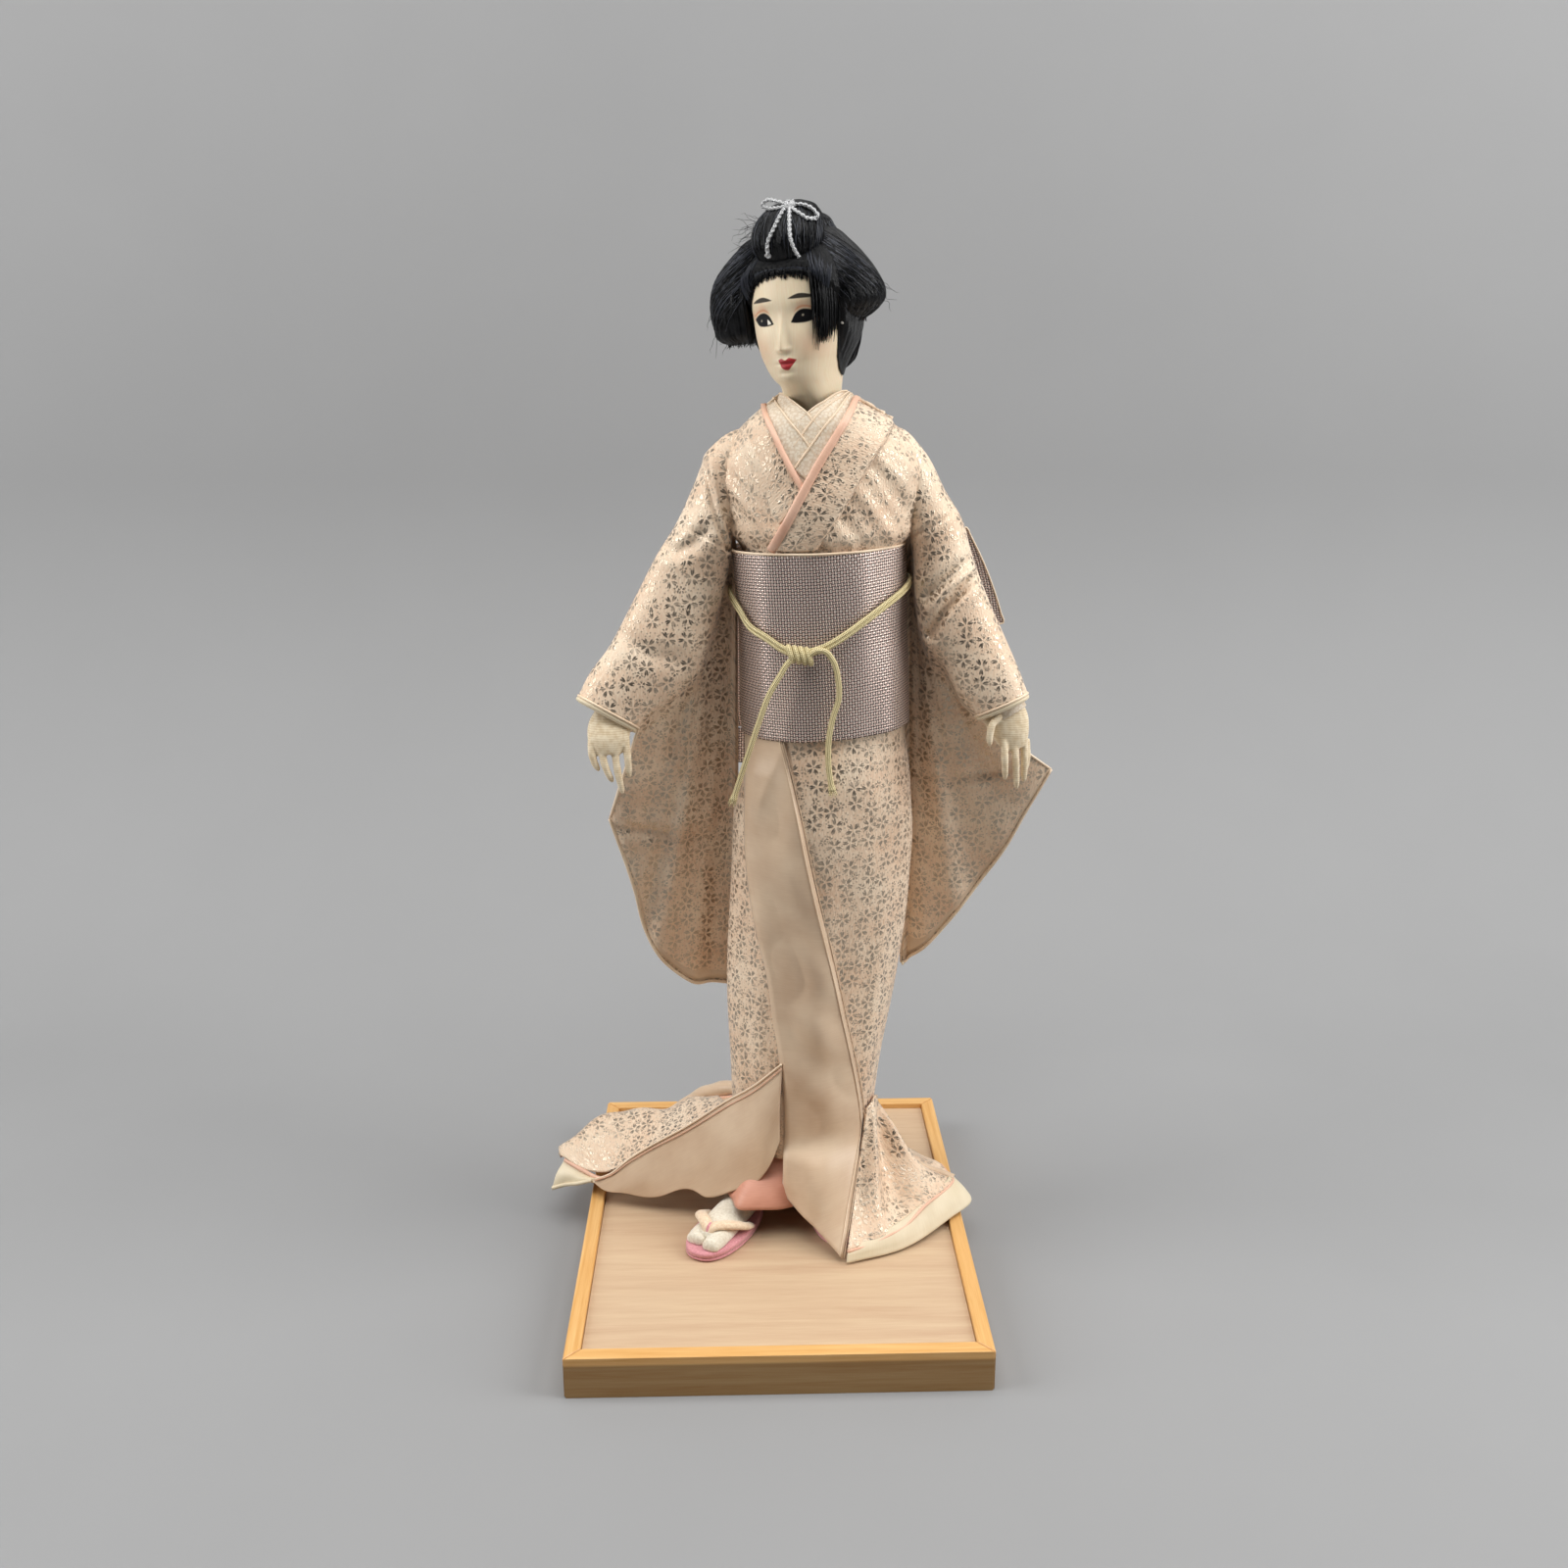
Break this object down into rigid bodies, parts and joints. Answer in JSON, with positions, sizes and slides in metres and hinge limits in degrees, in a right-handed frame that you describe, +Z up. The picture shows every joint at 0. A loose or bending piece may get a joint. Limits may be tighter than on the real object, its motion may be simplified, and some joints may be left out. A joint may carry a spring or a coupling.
{
  "type": "dressed doll on stand",
  "caption": "Cloth-dressed doll in a long-sleeved patterned robe with a wide sash and knotted cord, turned to one side, standing on a framed wooden base.",
  "frame": {"origin": "middle of the stand's flat underside", "axes": "+Z up the doll, -Y to the doll's front, +X to the doll's own left"},
  "size_m": [0.2202, 0.205, 0.4404],
  "materials": {
    "board_wood": "satin",
    "rail_wood": "satin",
    "wire": "drawn",
    "padding": "matte",
    "stockinet": "matte knit",
    "sock": "matte",
    "felt": "felt",
    "brocade": "figured weave",
    "satin": "satin",
    "pink_silk": "satin",
    "cream_silk": "soft",
    "sash_weave": "metallic weave",
    "gold_cord": "braided",
    "silver_cord": "twisted",
    "face_silk": "stretched crepe",
    "hair": "combed fibre",
    "pearl": "gloss",
    "peg_wood": "plain"
  },
  "bodies": {
    "stand_and_body": {"base_board": "board_wood", "front_rail": "rail_wood", "left_rail": "rail_wood", "back_rail": "rail_wood", "right_rail": "rail_wood", "right_leg_wire": "wire", "left_leg_wire": "wire", "shoulder_wire": "wire", "right_leg": "padding", "left_leg": "padding", "torso_core": "padding", "right_foot": "sock", "left_foot": "sock", "right_sandal": "felt", "left_sandal": "felt", "kimono_skirt": "brocade", "right_train": "brocade", "left_train": "brocade", "back_train": "brocade", "kimono_bodice": "brocade", "left_collar_band": "brocade", "right_collar_band": "brocade", "nape_collar": "brocade", "front_lapel": "satin", "right_front_lining": "satin", "under_skirt": "pink_silk", "left_piping": "pink_silk", "right_piping": "pink_silk", "right_sandal_strap": "cream_silk", "left_sandal_strap": "cream_silk", "right_hem_roll": "cream_silk", "left_hem_roll": "cream_silk", "left_inner_collar": "cream_silk", "right_inner_collar": "cream_silk", "sash_band": "sash_weave", "sash_drum": "sash_weave", "sash_tail": "sash_weave", "right_sash_wing": "sash_weave", "left_sash_wing": "sash_weave", "sash_cord": "gold_cord", "right_sash_cord_end": "gold_cord", "left_sash_cord_end": "gold_cord"},
    "head": {"head": "face_silk", "neck_peg": "peg_wood", "wig_cap": "hair", "ear_pearl": "pearl", "right_hair_wing": "hair", "left_hair_wing": "hair", "front_hair_roll": "hair", "topknot": "hair", "nape_hair_roll": "hair", "hair_bow": "silver_cord"},
    "right_arm": {"right_sleeve": "brocade", "right_arm": "padding", "right_under_sleeve": "cream_silk"},
    "left_arm": {"left_sleeve": "brocade", "left_arm": "padding", "left_under_sleeve": "cream_silk"},
    "right_hand": {"right_hand": "stockinet"},
    "left_hand": {"left_hand": "stockinet"}
  },
  "joints": [
    {"name": "neck_turn", "type": "hinge", "parent": "stand_and_body", "child": "head", "pos_m": [0.0175, 0.013, 0.35345], "axis": [-0.1045, 0, 0.9945], "range_deg": [-30, 30]},
    {"name": "right_shoulder_bend", "type": "hinge", "parent": "stand_and_body", "child": "right_arm", "pos_m": [-0.0175, 0.014, 0.3495], "axis": [0, 1, 0], "range_deg": [0, 14]},
    {"name": "left_shoulder_bend", "type": "hinge", "parent": "stand_and_body", "child": "left_arm", "pos_m": [0.0575, 0.014, 0.3495], "axis": [0, -1, 0], "range_deg": [0, 14]},
    {"name": "right_wrist_turn", "type": "hinge", "parent": "right_arm", "child": "right_hand", "pos_m": [-0.062, -0.001, 0.25], "axis": [-0.4609, -0.1577, -0.8733], "range_deg": [-20, 20]},
    {"name": "left_wrist_turn", "type": "hinge", "parent": "left_arm", "child": "left_hand", "pos_m": [0.093, -0.0015, 0.248], "axis": [0.3036, -0.1656, -0.9383], "range_deg": [-20, 20]}
  ]
}
